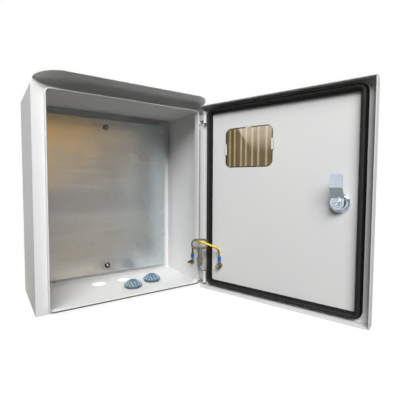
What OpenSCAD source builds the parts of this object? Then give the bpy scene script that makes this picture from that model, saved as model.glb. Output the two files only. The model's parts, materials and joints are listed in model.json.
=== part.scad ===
/* [Enclosure] */
// Width of the enclosure
box_w = 350; // [320:5:420]
// Height of the enclosure
box_h = 400; // [360:5:500]
// Depth from the front flange to the wall
box_d = 170; // [160:5:220]
// Thickness of the folded sheet steel
sheet = 1.2; // [1:0.1:1.5]
// Width of the front flange at the two sides
side_flange = 22; // [21:0.5:26]
// Width of the front flange at the top and bottom
end_flange = 8.6; // [8.6:0.2:11]
// Height of the hemmed sealing rim in front of the flange
rim_h = 12; // [10:0.5:12]
// Thickness of the hemmed sealing rim
rim_t = 2.4; // [2:0.1:2.6]

/* [Rain visor] */
// Height of the upright web above the roof, below its bend
web_h = 5.4; // [4:0.2:12]
// How far the canopy stands out in front of the flange
visor_depth = 46; // [36:1:60]
// How much the canopy rises to the front, in degrees
visor_tilt = 6.5; // [3:0.5:15]
// Radius of the canopy's front corners, seen from above
visor_corner_r = 50; // [20:1:60]

/* [Mounting plate] */
// Width of the plate
plate_w = 311; // [260:1:320]
// Height of the plate
plate_h = 368; // [300:1:380]
// Free space between the plate and the back wall
plate_gap = 12; // [8:1:14]
// Distance of the fixing studs from the plate's top and bottom edge
plate_stud_inset = 18; // [14:1:40]

/* [Door] */
// How far the door stands open at rest, in degrees
open_angle = 108; // [90:1:118]
// Depth of the door's turned edges
door_depth = 24; // [24:0.5:26]
// Gap between the door's edges and the front flange
door_gap = 2; // [1.5:0.5:3]
// Depth of the shorter turned edge on the hinge side
hinge_edge_depth = 13; // [11:0.5:14]
// Width of the gasket strip
gasket_w = 12; // [10:0.5:13]
// Distance of the gasket's middle from the door's side edges
gasket_inset = 20; // [19:0.5:21]

/* [Window] */
// Width of the window opening
window_w = 109; // [80:1:120]
// Height of the window opening
window_h = 82; // [60:1:100]
// Corner radius of the window opening
window_r = 13; // [6:1:18]
// Distance of the window's middle from the hinge side of the door
window_from_hinge = 114; // [100:1:125]
// Distance of the window's middle from the top of the door
window_from_top = 93.5; // [80:0.5:120]

/* [Lock] */
// Distance of the lock from the free side of the door
lock_inset = 55; // [52:0.5:56]
// Length of the cam from its pivot to its tip
cam_len = 49; // [44:0.5:51]
// Width of the cam
cam_w = 21; // [18:0.5:22]

/* [Cable entries] */
// Diameter of each knocked-out hole in the floor
entry_d = 34; // [24:0.5:36]
// Distance between the two holes
entry_pitch = 60; // [50:1:90]
// Distance of the holes from the back of the enclosure
entry_from_back = 48; // [40:1:60]
// Diameter of a grommet's flange
grommet_d = 40; // [36:0.5:46]

/* [Earth bond] */
// Diameter of the insulated wire
wire_d = 4.6; // [3:0.1:5]

/* [Hidden] */
$fn = 64;

paint = [0.86, 0.86, 0.84];
zinc = [0.72, 0.74, 0.77];
rubber = [0.08, 0.08, 0.09];
eps = 0.01;
bend_r = 2.4;

// The enclosure grows where the plate needs more room inside it
plate_room = 1;
plate_drop = 1.5;
case_w = max(box_w, plate_w + 2 * (sheet + plate_room));
case_h = max(box_h, plate_h + 2 * (sheet + plate_room + plate_drop));
front_y = -box_d / 2;
back_y = box_d / 2;

// Rain visor
visor_foot = 15;
visor_side_gap = 3;
visor_setback = 0.8;
visor_bend_r = 4;
visor_w = case_w - 2 * visor_side_gap;

// Sealing rim, measured to its middle line
rim_w = case_w - 2 * side_flange + rim_t;
rim_tall = case_h - 2 * end_flange + rim_t;
rim_r = 7.8;

// Door when closed
door_y0 = front_y - door_gap - door_depth;
door_y1 = front_y - door_gap;
door_in_y = door_y0 + sheet;
door_z0 = 1;
door_z1 = case_h + 1.5;
door_tall = door_z1 - door_z0;
door_mid_z = (door_z0 + door_z1) / 2;
gasket_clear = 0.3;
gasket_h = front_y - rim_h - gasket_clear - door_in_y;
gasket_end_inset = end_flange + 1.8;
gasket_r = 9;

// Hinges
axis_inset = 8;
axis_x = case_w / 2 - axis_inset;
axis_y = front_y - 18.5;
leaf_h = 31;
leaf_t = 2;
leaf_x0 = case_w / 2 - side_flange + rim_t + 0.4;
leaf_x1 = case_w / 2 - 3;
knuckle_r = 4;
knuckle_h = 12;
lug_h = 7;
lug_gap = 0.3;
pin_r = 2;
pin_clear = 0.05;
rivet_x = axis_x - 1.5;
rivet_pitch = 20;
rivet_d = 4.8;
hinge_inset = 21;
hinge_zs = [hinge_inset, case_h - hinge_inset];

// Plate fixings
plate_t = 1.5;
plate_z0 = (case_h - plate_h) / 2 - plate_drop;
plate_y1 = back_y - sheet - plate_gap;
plate_y0 = plate_y1 - plate_t;
plate_stud_zs = [plate_z0 + plate_stud_inset, plate_z0 + plate_h - plate_stud_inset];
m6_d = 6;
m6_hole = 6.6;
m6_af = 10;
m6_nut_h = 5;
m6_washer_d = 14;
m6_washer_t = 1.4;

// Wall fixing holes in the back, behind the plate
wall_hole_d = 8.5;
wall_hole_x = case_w / 2 - 45;
wall_hole_z = 50;

// Earth points
stud_len = 16;
earth_washer_d = 12;
earth_washer_t = 1;
ring_t = 0.8;
barrel_r = 2.6;
barrel_y0 = 8;
barrel_len = 8;
sleeve_y0 = 9;
sleeve_len = 12;
sleeve_r = 3.4;
sleeve_clear = 0.05;
barrel_z = earth_washer_t + barrel_r;
body_earth = [case_w / 2 - sheet, front_y + 38, 43];
door_earth = [axis_x - 39.5, door_in_y, 52];

// Lock, from the inside face of the door towards the cabinet
lock_x = -case_w / 2 + lock_inset;
lock_z = case_h / 2 + 1;
barrel_d = 20;
barrel_in = 14;
lock_head_d = 27;
lock_head_t = 4;
lock_seal_t = 1;
plug_d = 12;
plug_clear = 0.05;
cam_t = 2;
cam_gap = 0.3;
cam_base_y = door_in_y + barrel_in + cam_gap;
cam_tip_y = front_y + sheet + 0.7;
cam_bend_from = 9;
cam_bend_to = 27;
cam_square = 7;
square_clear = 0.1;
lock_washer_d = 34;
lock_washer_t = 1.2;
lock_nut_af = 30;
lock_nut_h = 6;
cam_washer_d = 15;
cam_washer_t = 1;
cam_screw_d = 4;
cam_screw_head_d = 9;
cam_screw_head_h = 2.6;
screw_slot_w = 1.2;

// Double-bit end of the lock plug, which the key's socket takes
bit_d = 6.4;
bit_w = 8.4;
bit_h = 2.8;
bit_len = 1.5;
key_fit = 0.5;

// Earth wire: points from the body's terminal, then points back from the door's terminal
wire_gap = 0.3;
wire_start = body_earth + [-barrel_z, 0, barrel_y0 + barrel_len + wire_gap];
wire_end = opened(door_earth + [0, barrel_z, barrel_y0 + barrel_len + wire_gap]);
wire_out = [[0, 0, 0], [0, 0, 7], [-0.5, -2, 16], [-7, -11, 30], [-20, -30, 39], [-25, -50, 45.5]];
wire_mid = [-29, -75, 46.5];
wire_back = [
    [-37.5, 5.5, 37], [-28, -5, 32], [-15, -7.5, 26.5], [-4.6, -3.8, 18.5], [-0.5, -0.4, 9.5], [0, 0, 0]
];
wire_points = concat(
    [for (p = wire_out) wire_start + p],
    [wire_start + wire_mid],
    [for (p = wire_back) wire_end + p]
);
wire_steps = 2;
wire_sides = 8;

// Key, hung on the middle of the wire and turned to one side
key_at = wire_start + wire_mid;
key_turn = -30;
key_hang = 0.3;
key_t = 3;
bow_w = 38;
bow_h = 23;
bow_hole_w = 29;
bow_hole_h = 13.5;
bow_top = wire_d / 2 + key_hang + (bow_h - bow_hole_h) / 2;
key_len = 59;
key_barrel_d = 13.5;
key_barrel_len = 16;
key_stem_d = 7;
key_stem_foot_d = 8.5;
key_shoulder_w = 17;
key_shoulder_h = 6;
key_socket_len = 11;

// Loose grommets on the floor
left_grommet_at = [26, -28];
right_grommet_at = [81, -8];

function turned(p, a) = [p.x * cos(a) - p.y * sin(a), p.x * sin(a) + p.y * cos(a), p.z];

// A point of the closed door, moved to the open door
function opened(p) = turned(p - [axis_x, axis_y, 0], open_angle) + [axis_x, axis_y, 0];

// Round curve through four neighbouring points
function curve_point(a, b, c, d, t) = 0.5 * (2 * b + (c - a) * t
    + (2 * a - 5 * b + 4 * c - d) * t * t + (3 * b - a - 3 * c + d) * t * t * t);

function smooth_path(p, n) = let (last = len(p) - 1) concat(
    [for (i = [0 : last - 1], k = [0 : n - 1])
        curve_point(p[max(i - 1, 0)], p[i], p[i + 1], p[min(i + 2, last)], k / n)],
    [p[last]]);

function unit(v) = v / norm(v);
function path_dir(p, i) = unit(p[min(i + 1, len(p) - 1)] - p[max(i - 1, 0)]);

// Side vectors carried along the path without twist
function carried_sides(p, i = 0, side = [1, 0, 0]) = i == len(p) ? [] : let (
    d = path_dir(p, i),
    s = unit(side - (side * d) * d)
) concat([s], carried_sides(p, i + 1, s));

// Plane shapes

module rounded_rect(w, h, r) {
    square([w - 2 * r, h], center = true);
    square([w, h - 2 * r], center = true);
    for (sx = [-1, 1], sy = [-1, 1])
        translate([sx * (w / 2 - r), sy * (h / 2 - r)]) circle(r);
}

// Plan of a wrap that is open to the front, with round corners at the back
module wrap_plan(w, y0, y1, r) {
    translate([-w / 2, y0]) square([w, y1 - y0 - r]);
    translate([-w / 2 + r, y0]) square([w - 2 * r, y1 - y0]);
    for (s = [-1, 1])
        translate([s * (w / 2 - r), y1 - r]) circle(r);
}

// Solids shared by several sub-parts

// A strip section that runs round a rectangle with round corners, lying in the XY plane
module framed(w, h, r) {
    for (k = [0 : 3]) {
        along = k % 2 == 0 ? w : h;
        across = k % 2 == 0 ? h : w;
        rotate([0, 0, 90 * k]) {
            translate([-along / 2 + r, -across / 2, 0]) rotate([90, 0, 90])
                linear_extrude(along - 2 * r) mirror([1, 0]) children();
            translate([along / 2 - r, -across / 2 + r, 0]) rotate([0, 0, -90])
                rotate_extrude(angle = 90) translate([r, 0]) children();
        }
    }
}

module tube(d_out, d_in, h) {
    difference() {
        cylinder(d = d_out, h = h);
        translate([0, 0, -1]) cylinder(d = d_in, h = h + 2);
    }
}

module hex_nut(af, d, h) {
    difference() {
        cylinder(d = af / cos(30), h = h, $fn = 6);
        translate([0, 0, -1]) cylinder(d = d, h = h + 2);
    }
}

// Places

module at_door() {
    translate([axis_x, axis_y, 0]) rotate([0, 0, open_angle]) translate([-axis_x, -axis_y, 0])
        children();
}

// Local +Z points away from the carrier, local +Y points up
module at_body_earth() {
    translate(body_earth) rotate([90, 0, -90]) children();
}

module at_door_earth() {
    at_door() translate(door_earth) rotate([90, 0, 180]) children();
}

// Local +Z points into the cabinet, local +Y points up
module at_lock(y) {
    at_door() translate([lock_x, y, lock_z]) rotate([90, 0, 180]) children();
}

module at_hinge(i) {
    translate([axis_x, axis_y, hinge_zs[i]]) children();
}

module at_plate_studs(y) {
    for (z = plate_stud_zs)
        translate([0, y, z]) rotate([90, 0, 0]) children();
}

// Enclosure

module body_shell() {
    color(paint) difference() {
        linear_extrude(case_h) difference() {
            wrap_plan(case_w, front_y + sheet, back_y, bend_r);
            wrap_plan(case_w - 2 * sheet, front_y, back_y - sheet, bend_r - sheet);
        }
        for (sx = [-1, 1], z = [wall_hole_z, case_h - wall_hole_z])
            translate([sx * wall_hole_x, back_y + 1, z]) rotate([90, 0, 0])
                cylinder(d = wall_hole_d, h = sheet + 2);
    }
}

module inner_panel() {
    linear_extrude(sheet)
        wrap_plan(case_w - 2 * sheet, front_y + sheet, back_y - sheet, bend_r);
}

module top_panel() {
    color(paint) translate([0, 0, case_h - sheet]) inner_panel();
}

module floor_panel() {
    color(paint) difference() {
        inner_panel();
        for (s = [-1, 1])
            translate([s * entry_pitch / 2, back_y - entry_from_back, -1])
                cylinder(d = entry_d, h = sheet + 2);
    }
}

module rim_section() {
    translate([-rim_t / 2, 0]) square([rim_t, rim_h - rim_t / 2]);
    translate([0, rim_h - rim_t / 2]) circle(d = rim_t);
}

module front_frame() {
    color(paint) difference() {
        translate([0, front_y, case_h / 2]) rotate([90, 0, 0]) {
            translate([0, 0, -sheet]) linear_extrude(sheet) difference() {
                square([case_w, case_h], center = true);
                rounded_rect(rim_w - rim_t, rim_tall - rim_t, rim_r - rim_t / 2);
            }
            framed(rim_w, rim_tall, rim_r) rim_section();
        }
        for (i = [0, 1])
            at_rivets(i) translate([0, 0, -sheet - 1]) cylinder(d = rivet_d + 0.2, h = sheet + 2);
    }
}

// Foot, upright web and canopy, as one sheet that bends forward
module visor_section() {
    web_y = front_y + visor_setback;
    bend = [web_y - visor_bend_r, case_h + web_h];
    arc = [for (k = [0 : 8]) let (a = k / 8 * (90 - visor_tilt)) [cos(a), sin(a)]];
    under = [for (p = arc) bend + visor_bend_r * p];
    over = [for (k = [8 : -1 : 0]) bend + (visor_bend_r + sheet) * arc[k]];
    reach = (under[8].x - front_y + visor_depth) / cos(visor_tilt);
    run = reach * [-cos(visor_tilt), sin(visor_tilt)];
    foot = [[sheet, sheet], [visor_foot, sheet], [visor_foot, 0], [0, 0]];
    polygon(concat(
        under, [under[8] + run, over[0] + run], over, [for (p = foot) [web_y, case_h] + p]
    ));
}

// Canopy with round front corners, seen from above
module visor_plan() {
    mirror([0, 1]) wrap_plan(visor_w, -back_y, visor_depth + sheet - front_y, visor_corner_r);
}

module rain_visor() {
    color(paint) intersection() {
        translate([-case_w / 2, 0, 0]) rotate([90, 0, 90]) linear_extrude(case_w) visor_section();
        translate([0, 0, case_h - 1]) linear_extrude(web_h + visor_depth) visor_plan();
    }
}

// Mounting plate

module mounting_plate() {
    color([0.62, 0.62, 0.6]) difference() {
        translate([-plate_w / 2, plate_y0, plate_z0]) cube([plate_w, plate_t, plate_h]);
        at_plate_studs(plate_y1 + 1) cylinder(d = m6_hole, h = plate_t + 2);
    }
}

module plate_studs() {
    color(zinc) at_plate_studs(back_y - sheet)
        cylinder(d = m6_d, h = plate_gap + plate_t + m6_washer_t + m6_nut_h + 3);
}

module plate_spacers() {
    color(zinc) at_plate_studs(back_y - sheet) tube(m6_washer_d - 2, m6_hole, plate_gap);
}

module plate_washers() {
    color(zinc) at_plate_studs(plate_y0) tube(m6_washer_d, m6_hole, m6_washer_t);
}

module plate_nuts() {
    color(zinc) at_plate_studs(plate_y0 - m6_washer_t) hex_nut(m6_af, m6_d, m6_nut_h);
}

// Hinges: a leaf with one knuckle on the flange, between the two lugs of the door's leaf

module at_rivets(i) {
    for (s = [-1, 1])
        translate([rivet_x, front_y, hinge_zs[i] + s * rivet_pitch / 2]) rotate([90, 0, 0]) children();
}

module hinge_leaf(i) {
    web_t = 2.5;
    color(zinc) difference() {
        union() {
            translate([leaf_x0, front_y - leaf_t, hinge_zs[i] - leaf_h / 2])
                cube([leaf_x1 - leaf_x0, leaf_t, leaf_h]);
            at_hinge(i) translate([-knuckle_r, 0, -knuckle_h / 2])
                cube([web_t, front_y - axis_y - leaf_t, knuckle_h]);
            at_hinge(i) translate([0, 0, -knuckle_h / 2]) cylinder(r = knuckle_r, h = knuckle_h);
        }
        at_hinge(i) translate([0, 0, -knuckle_h]) cylinder(r = pin_r + pin_clear, h = 2 * knuckle_h);
        at_rivets(i) translate([0, 0, -1]) cylinder(d = rivet_d + 0.2, h = leaf_t + 2);
    }
}

module upper_hinge_leaf() {
    hinge_leaf(1);
}

module lower_hinge_leaf() {
    hinge_leaf(0);
}

module hinge_rivets() {
    head_d = 8;
    head_t = 1.6;
    color(zinc) for (i = [0, 1]) at_rivets(i) {
        translate([0, 0, -sheet - head_t]) cylinder(d = rivet_d, h = sheet + leaf_t + 2 * head_t);
        translate([0, 0, leaf_t]) cylinder(d1 = head_d, d2 = head_d - 2.5, h = head_t);
        translate([0, 0, -sheet - head_t]) cylinder(d1 = head_d - 2.5, d2 = head_d, h = head_t);
    }
}

module door_leaf(i) {
    foot_t = 1.5;
    foot_y = door_in_y - axis_y;
    foot_x0 = -5;
    foot_w = 11;
    color(zinc) at_door() at_hinge(i) difference() {
        union() {
            translate([foot_x0, foot_y, -leaf_h / 2]) cube([foot_w, foot_t, leaf_h]);
            for (s = [-1, 1])
                translate([0, 0, s * (knuckle_h / 2 + lug_gap + lug_h / 2) - lug_h / 2]) {
                    cylinder(r = knuckle_r, h = lug_h);
                    translate([-knuckle_r, foot_y, 0]) cube([2 * knuckle_r, -foot_y, lug_h]);
                }
        }
        translate([0, 0, -leaf_h]) cylinder(r = pin_r, h = 2 * leaf_h);
    }
}

module upper_door_leaf() {
    door_leaf(1);
}

module lower_door_leaf() {
    door_leaf(0);
}

module hinge_pin(i) {
    head_r = 3.2;
    head_t = 1.5;
    half = knuckle_h / 2 + lug_gap + lug_h;
    color(zinc) at_door() at_hinge(i) {
        translate([0, 0, -half]) cylinder(r = pin_r, h = 2 * half);
        translate([0, 0, half]) cylinder(r = head_r, h = head_t);
        translate([0, 0, -half - head_t]) cylinder(r = head_r, h = head_t);
    }
}

module upper_hinge_pin() {
    hinge_pin(1);
}

module lower_hinge_pin() {
    hinge_pin(0);
}

// Earth points

module earth_stud() {
    color(zinc) {
        cylinder(d = m6_d, h = stud_len);
        cylinder(d = m6_d + 1, h = earth_washer_t / 2);
    }
}

module earth_washers() {
    color(zinc) for (z = [0, earth_washer_t + ring_t])
        translate([0, 0, z]) tube(earth_washer_d, m6_d + 1.2, earth_washer_t);
}

module earth_nut() {
    color(zinc) translate([0, 0, 2 * earth_washer_t + ring_t]) hex_nut(m6_af, m6_d, m6_nut_h);
}

module ring_terminal() {
    color([0.8, 0.78, 0.74]) translate([0, 0, earth_washer_t]) {
        difference() {
            union() {
                cylinder(d = earth_washer_d, h = ring_t);
                translate([-barrel_r, 0, 0]) cube([2 * barrel_r, barrel_y0 + 1, ring_t]);
            }
            translate([0, 0, -1]) cylinder(d = m6_hole, h = ring_t + 2);
        }
        translate([0, barrel_y0, barrel_r]) rotate([-90, 0, 0]) cylinder(r = barrel_r, h = barrel_len);
    }
}

module terminal_sleeve() {
    color([0.05, 0.35, 0.68]) translate([0, sleeve_y0, barrel_z]) rotate([-90, 0, 0])
        tube(2 * sleeve_r, 2 * (barrel_r + sleeve_clear), sleeve_len);
}

module body_earth_stud() {
    at_body_earth() earth_stud();
}

module body_earth_washers() {
    at_body_earth() earth_washers();
}

module body_earth_nut() {
    at_body_earth() earth_nut();
}

module body_ring_terminal() {
    at_body_earth() ring_terminal();
}

module body_terminal_sleeve() {
    at_body_earth() terminal_sleeve();
}

module door_earth_stud() {
    at_door_earth() earth_stud();
}

module door_earth_washers() {
    at_door_earth() earth_washers();
}

module door_earth_nut() {
    at_door_earth() earth_nut();
}

module door_ring_terminal() {
    at_door_earth() ring_terminal();
}

module door_terminal_sleeve() {
    at_door_earth() terminal_sleeve();
}

module earth_wire() {
    path = smooth_path(wire_points, wire_steps);
    sides = carried_sides(path);
    rings = len(path);
    points = [for (i = [0 : rings - 1], k = [0 : wire_sides - 1]) let (
        a = 360 * k / wire_sides,
        up = cross(path_dir(path, i), sides[i])
    ) path[i] + wire_d / 2 * (cos(a) * sides[i] + sin(a) * up)];
    walls = [for (i = [0 : rings - 2], k = [0 : wire_sides - 1]) let (
        n = (k + 1) % wire_sides,
        low = i * wire_sides,
        high = low + wire_sides
    ) [low + k, high + k, high + n, low + n]];
    ends = [
        [for (k = [0 : wire_sides - 1]) k],
        [for (k = [wire_sides - 1 : -1 : 0]) (rings - 1) * wire_sides + k]
    ];
    color([0.75, 0.78, 0.1]) polyhedron(points, concat(walls, ends));
}

// Key with an oval bow and a hollow socket for the double-bit plug

module bow_outline(w, h) {
    rounded_rect(w, h, h / 2 - eps);
}

module lock_key() {
    bow_z = bow_top - bow_h / 2;
    end_z = bow_top - key_len;
    color(zinc) translate(key_at) rotate([0, 0, key_turn]) difference() {
        union() {
            translate([0, key_t / 2, bow_z]) rotate([90, 0, 0]) linear_extrude(key_t) difference() {
                bow_outline(bow_w, bow_h);
                bow_outline(bow_hole_w, bow_hole_h);
            }
            translate([0, key_t / 2, bow_top - bow_h]) rotate([90, 0, 0]) linear_extrude(key_t) polygon([
                [-key_shoulder_w / 2, 2],
                [-key_stem_d / 2, -key_shoulder_h],
                [key_stem_d / 2, -key_shoulder_h],
                [key_shoulder_w / 2, 2]
            ]);
            translate([0, 0, end_z + key_barrel_len - eps])
                cylinder(d1 = key_stem_foot_d, d2 = key_stem_d, h = key_len - bow_h - key_barrel_len + 2);
            translate([0, 0, end_z]) cylinder(d = key_barrel_d, h = key_barrel_len);
        }
        translate([0, 0, end_z - 1]) {
            cylinder(d = bit_d + 2 * key_fit, h = key_socket_len + 1);
            translate([-bit_w / 2 - key_fit, -bit_h / 2 - key_fit, 0])
                cube([bit_w + 2 * key_fit, bit_h + 2 * key_fit, key_socket_len + 1]);
        }
    }
}

// Loose membrane grommets on the floor

module grommet(at) {
    lip_r = entry_d / 2 + 1;
    groove_r = entry_d / 2 - 0.2;
    wall = 2;
    lip_h = 2.4;
    groove_h = 1.8;
    flange_h = 3;
    step_h = 2.8;
    cap_h = 3.6;
    outer_r = grommet_d / 2;
    cap_r = 0.42 * outer_r;
    flange_z = lip_h + groove_h;
    cone_z = flange_z + flange_h;
    cap_z = cone_z + 2 * step_h;
    color([0.4, 0.5, 0.56]) translate([at.x, at.y, sheet]) rotate_extrude() polygon([
        [groove_r - wall, 0],
        [lip_r - 1, 0],
        [lip_r, lip_h],
        [groove_r, lip_h],
        [groove_r, flange_z],
        [outer_r - 1, flange_z],
        [outer_r, flange_z + flange_h / 2],
        [outer_r - 0.8, cone_z],
        [0.84 * outer_r, cone_z],
        [0.79 * outer_r, cone_z + step_h],
        [0.66 * outer_r, cone_z + step_h],
        [0.61 * outer_r, cap_z],
        [cap_r, cap_z],
        [cap_r - 0.5, cap_z + cap_h],
        [0, cap_z + cap_h],
        [0, cap_z - wall],
        [cap_r - wall, cap_z - wall],
        [groove_r - wall, flange_z]
    ]);
}

module left_grommet() {
    grommet(left_grommet_at);
}

module right_grommet() {
    grommet(right_grommet_at);
}

// Door, drawn closed and swung open

// Tray outline with round outer bends, shrunk by an inset
module tray(inset, r) {
    intersection() {
        translate([0, 0, door_z0 + inset]) linear_extrude(door_tall - 2 * inset)
            mirror([0, 1]) wrap_plan(case_w - 2 * inset, -door_y1 - inset, -door_y0 - inset, r);
        translate([-case_w / 2, 0, door_mid_z]) rotate([90, 0, 90]) linear_extrude(case_w)
            rotate([0, 0, 90]) wrap_plan(door_tall - 2 * inset, -door_y1 - inset, -door_y0 - inset, r);
    }
}

module window_plan(grow) {
    rounded_rect(window_w + 2 * grow, window_h + 2 * grow, window_r + grow);
}

// Local +Z points out of the door's front, local +Y points up
module at_window(y) {
    translate([case_w / 2 - window_from_hinge, y, door_z1 - window_from_top]) rotate([90, 0, 0])
        children();
}

module door_panel() {
    color(paint) at_door() difference() {
        tray(0, bend_r);
        difference() {
            tray(sheet, bend_r - sheet);
            translate([-case_w, door_y1 - sheet - eps, -1]) cube([2 * case_w, box_d, case_h + 9]);
        }
        translate([-case_w / 2 + sheet, door_y1 - 2 * sheet, door_z0 + sheet])
            cube([case_w - 2 * sheet, 3 * sheet, door_tall - 2 * sheet]);
        translate([axis_x, door_y0 + hinge_edge_depth, door_z0 - 1])
            cube([case_w, box_d, door_tall + 2]);
        for (z = hinge_zs)
            translate([axis_x + knuckle_r + 1.6, door_in_y, z - leaf_h / 2 - 1])
                cube([case_w, box_d, leaf_h + 2]);
        at_window(door_in_y + 1) linear_extrude(sheet + 2) window_plan(0);
        translate([lock_x, door_in_y + 1, lock_z]) rotate([90, 0, 0])
            cylinder(d = barrel_d + 0.4, h = sheet + 2);
    }
}

module gasket_section() {
    foot = 0.35 * gasket_h;
    crown_r = 0.28 * gasket_w;
    translate([-gasket_w / 2, 0]) square([gasket_w, foot]);
    polygon([
        [-gasket_w / 2, foot],
        [gasket_w / 2, foot],
        [crown_r, gasket_h - crown_r],
        [-crown_r, gasket_h - crown_r]
    ]);
    translate([0, gasket_h - crown_r]) circle(crown_r);
}

module door_gasket() {
    color(rubber) at_door() translate([0, door_in_y, door_mid_z]) rotate([-90, 0, 0])
        framed(case_w - 2 * gasket_inset, door_tall - 2 * gasket_end_inset, gasket_r) gasket_section();
}

module window_seal() {
    color(rubber) at_door() at_window(door_y0) linear_extrude(1) difference() {
        window_plan(5);
        window_plan(0.5);
    }
}

module window_pane() {
    lip = 6;
    fit = 0.3;
    flange_t = 3;
    inside = 1;
    clip_h = 22;
    clip_w = 5;
    clip_t = 1.6;
    color([0.45, 0.36, 0.28, 0.6]) at_door() {
        at_window(door_y0 - 1) linear_extrude(flange_t) window_plan(lip);
        at_window(door_in_y + inside) linear_extrude(sheet + 1 + inside + eps) window_plan(-fit);
        at_window(door_in_y) for (s = [-1, 1]) translate([s * (window_w / 2), -s * 3, -clip_t])
            translate([-clip_w / 2 - s * 0.5, -clip_h / 2, 0]) cube([clip_w, clip_h, clip_t]);
        at_window(door_in_y) translate([-6, window_h / 2 - 2, -clip_t]) cube([12, 4, clip_t]);
    }
}

// Cam lock

module lock_barrel() {
    color(zinc) difference() {
        union() {
            at_lock(door_y0 - lock_seal_t - lock_head_t) cylinder(d = lock_head_d, h = lock_head_t);
            at_lock(door_y0 - lock_seal_t - eps)
                cylinder(d = barrel_d, h = lock_seal_t + sheet + barrel_in + eps);
        }
        at_lock(door_y0 - lock_seal_t - lock_head_t - 1)
            cylinder(d = plug_d + 2 * plug_clear, h = lock_head_t + 60);
        at_lock(door_y0 - lock_seal_t - lock_head_t - 1) cylinder(d = 18, h = lock_head_t);
    }
}

module lock_seal() {
    color(rubber) at_lock(door_y0 - lock_seal_t) tube(lock_head_d, barrel_d + 0.4, lock_seal_t);
}

module lock_washer() {
    color(zinc) at_lock(door_in_y) tube(lock_washer_d, barrel_d + 0.4, lock_washer_t);
}

module lock_nut() {
    color(zinc) at_lock(door_in_y + lock_washer_t) rotate([0, 0, 30])
        hex_nut(lock_nut_af, barrel_d, lock_nut_h);
}

module lock_plug() {
    front = door_y0 - lock_seal_t - 1;
    color(zinc) {
        at_lock(front) cylinder(d = plug_d, h = door_in_y + barrel_in - front);
        at_lock(front - bit_len + eps) {
            cylinder(d = bit_d, h = bit_len);
            translate([-bit_w / 2, -bit_h / 2, 0]) cube([bit_w, bit_h, bit_len]);
        }
        at_lock(door_in_y + barrel_in - eps) cylinder(d = plug_d - 1, h = cam_gap + eps);
        difference() {
            at_lock(cam_base_y - eps) translate([-cam_square / 2, -cam_square / 2, 0])
                cube([cam_square, cam_square, cam_t + eps]);
            at_lock(cam_base_y) cylinder(d = cam_screw_d, h = 20);
        }
    }
}

// Side view of the bent strip: distance from the pivot and height above the base
module cam_profile() {
    rise = cam_tip_y - cam_base_y;
    tail = cam_w / 2;
    back = cam_t * tan(atan2(rise, cam_bend_to - cam_bend_from) / 2);
    polygon([
        [-tail, 0], [cam_bend_from, 0], [cam_bend_to, rise], [cam_len, rise],
        [cam_len, rise + cam_t], [cam_bend_to - back, rise + cam_t],
        [cam_bend_from - back, cam_t], [-tail, cam_t]
    ]);
}

module lock_cam() {
    hole = cam_square + 2 * square_clear;
    color(zinc) at_lock(cam_base_y) difference() {
        intersection() {
            translate([-cam_w / 2, 0, 0]) rotate([90, 0, 90]) linear_extrude(cam_w) cam_profile();
            translate([0, 0, -1]) linear_extrude(60) union() {
                circle(d = cam_w);
                translate([-cam_w / 2, 0]) square([cam_w, cam_len - cam_w / 4]);
                translate([-cam_w / 4, 0]) square([cam_w / 2, cam_len]);
                for (s = [-1, 1])
                    translate([s * cam_w / 4, cam_len - cam_w / 4]) circle(d = cam_w / 2);
            }
        }
        translate([-hole / 2, -hole / 2, -1]) cube([hole, hole, cam_t + 2]);
    }
}

module cam_washer() {
    color(zinc) at_lock(cam_base_y + cam_t) tube(cam_washer_d, cam_screw_d + 0.4, cam_washer_t);
}

module cam_screw() {
    color(zinc) {
        at_lock(cam_base_y) cylinder(d = cam_screw_d, h = cam_t + cam_washer_t + eps);
        at_lock(cam_base_y + cam_t + cam_washer_t) difference() {
            cylinder(d = cam_screw_head_d, h = cam_screw_head_h);
            translate([-cam_screw_head_d, -screw_slot_w / 2, cam_screw_head_h - screw_slot_w])
                cube([2 * cam_screw_head_d, screw_slot_w, 2 * screw_slot_w]);
        }
    }
}

body_shell();
top_panel();
floor_panel();
front_frame();
rain_visor();
mounting_plate();
plate_studs();
plate_spacers();
plate_washers();
plate_nuts();
upper_hinge_leaf();
lower_hinge_leaf();
hinge_rivets();
body_earth_stud();
body_earth_washers();
body_earth_nut();
body_ring_terminal();
body_terminal_sleeve();
left_grommet();
right_grommet();
door_panel();
door_gasket();
upper_door_leaf();
lower_door_leaf();
upper_hinge_pin();
lower_hinge_pin();
window_pane();
window_seal();
door_earth_stud();
door_earth_washers();
door_earth_nut();
door_ring_terminal();
door_terminal_sleeve();
earth_wire();
lock_key();
lock_barrel();
lock_seal();
lock_washer();
lock_nut();
lock_plug();
lock_cam();
cam_washer();
cam_screw();
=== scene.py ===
import json
import math

import bpy
from mathutils import Matrix, Vector


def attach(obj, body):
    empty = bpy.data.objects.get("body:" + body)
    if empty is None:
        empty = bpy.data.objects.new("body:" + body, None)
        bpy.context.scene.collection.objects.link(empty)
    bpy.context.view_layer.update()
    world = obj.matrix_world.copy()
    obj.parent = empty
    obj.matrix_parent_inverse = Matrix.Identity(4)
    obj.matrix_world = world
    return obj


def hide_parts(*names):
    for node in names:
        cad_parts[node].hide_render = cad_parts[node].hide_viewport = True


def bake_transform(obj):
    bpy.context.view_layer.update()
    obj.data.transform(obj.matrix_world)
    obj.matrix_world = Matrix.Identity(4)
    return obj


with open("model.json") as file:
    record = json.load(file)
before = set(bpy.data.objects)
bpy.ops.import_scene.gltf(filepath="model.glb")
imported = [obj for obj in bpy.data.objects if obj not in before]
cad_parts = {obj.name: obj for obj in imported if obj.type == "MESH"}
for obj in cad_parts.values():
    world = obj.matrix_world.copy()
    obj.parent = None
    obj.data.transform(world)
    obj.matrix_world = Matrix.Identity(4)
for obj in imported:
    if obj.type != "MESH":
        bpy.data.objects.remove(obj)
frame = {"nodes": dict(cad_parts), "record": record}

mm = 0.001
fullTurn = 2 * math.pi
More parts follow.
